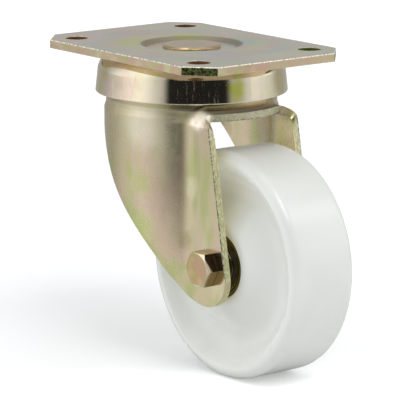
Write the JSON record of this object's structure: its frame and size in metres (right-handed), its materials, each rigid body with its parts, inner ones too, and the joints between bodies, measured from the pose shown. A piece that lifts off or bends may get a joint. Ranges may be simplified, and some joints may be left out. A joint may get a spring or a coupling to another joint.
{
  "type": "heavy duty swivel castor",
  "caption": "Swivel castor with a bolted rectangular plate, ball race swivel head, pressed steel fork and a solid white nylon wheel on ball bearings.",
  "frame": {"origin": "centre of the plate's top face, on the swivel axis, in the middle of the four bolt holes", "axes": "+Z is the plate's outward normal and the swivel axis; at rest the wheel trails towards +X; the axle lies along Y with the bolt head at -Y"},
  "size_m": [0.1895, 0.106, 0.1749],
  "materials": {
    "plated_sheet": "yellow passivated zinc plating, glossy with faint rainbow tints",
    "plated_fastener": "yellow passivated zinc plating, bright",
    "bearing_steel": "ground bearing steel",
    "spacer_steel": "turned steel, lightly oiled",
    "seal_rubber": "black rubber",
    "nylon": "white moulded nylon, semi-gloss, slightly translucent"
  },
  "bodies": {
    "swivel_head": {"top_plate": "plated_sheet", "race_cup": "plated_sheet", "king_pin": "plated_sheet", "lower_race": "plated_sheet", "pin_washer": "plated_sheet", "pin_nut": "plated_sheet"},
    "upper_ball_row": {"upper_balls": "bearing_steel"},
    "lower_ball_row": {"lower_balls": "bearing_steel"},
    "fork": {"fork_housing": "plated_sheet", "axle_bolt": "plated_fastener", "axle_washer": "plated_fastener", "axle_nut": "plated_fastener", "axle_sleeve": "spacer_steel", "left_spacer": "spacer_steel", "right_spacer": "spacer_steel", "left_inner_ring": "bearing_steel", "right_inner_ring": "bearing_steel"},
    "bearing_ball_rows": {"left_bearing_balls": "bearing_steel", "right_bearing_balls": "bearing_steel", "left_cage": "bearing_steel", "right_cage": "bearing_steel"},
    "wheel": {"nylon_wheel": "nylon", "left_outer_ring": "bearing_steel", "right_outer_ring": "bearing_steel", "left_seal": "seal_rubber", "right_seal": "seal_rubber"}
  },
  "joints": [
    {"name": "swivel", "type": "hinge", "parent": "swivel_head", "child": "fork", "pos_m": [0, 0, 0], "axis": [0, 0, 1], "continuous": true},
    {"name": "upper_row_turn", "type": "hinge", "parent": "swivel_head", "child": "upper_ball_row", "pos_m": [0, 0, 0], "axis": [0, 0, 1], "continuous": true},
    {"name": "lower_row_turn", "type": "hinge", "parent": "swivel_head", "child": "lower_ball_row", "pos_m": [0, 0, 0], "axis": [0, 0, 1], "continuous": true},
    {"name": "wheel_spin", "type": "hinge", "parent": "fork", "child": "wheel", "pos_m": [0.053, 0, -0.1124], "axis": [0, 1, 0], "continuous": true},
    {"name": "bearing_row_turn", "type": "hinge", "parent": "fork", "child": "bearing_ball_rows", "pos_m": [0.053, 0, -0.1124], "axis": [0, 1, 0], "continuous": true}
  ],
  "couplings": [
    {"joint": "upper_row_turn", "follows": "swivel", "ratio": 0.5},
    {"joint": "lower_row_turn", "follows": "swivel", "ratio": 0.5},
    {"joint": "bearing_row_turn", "follows": "wheel_spin", "ratio": 0.62}
  ]
}
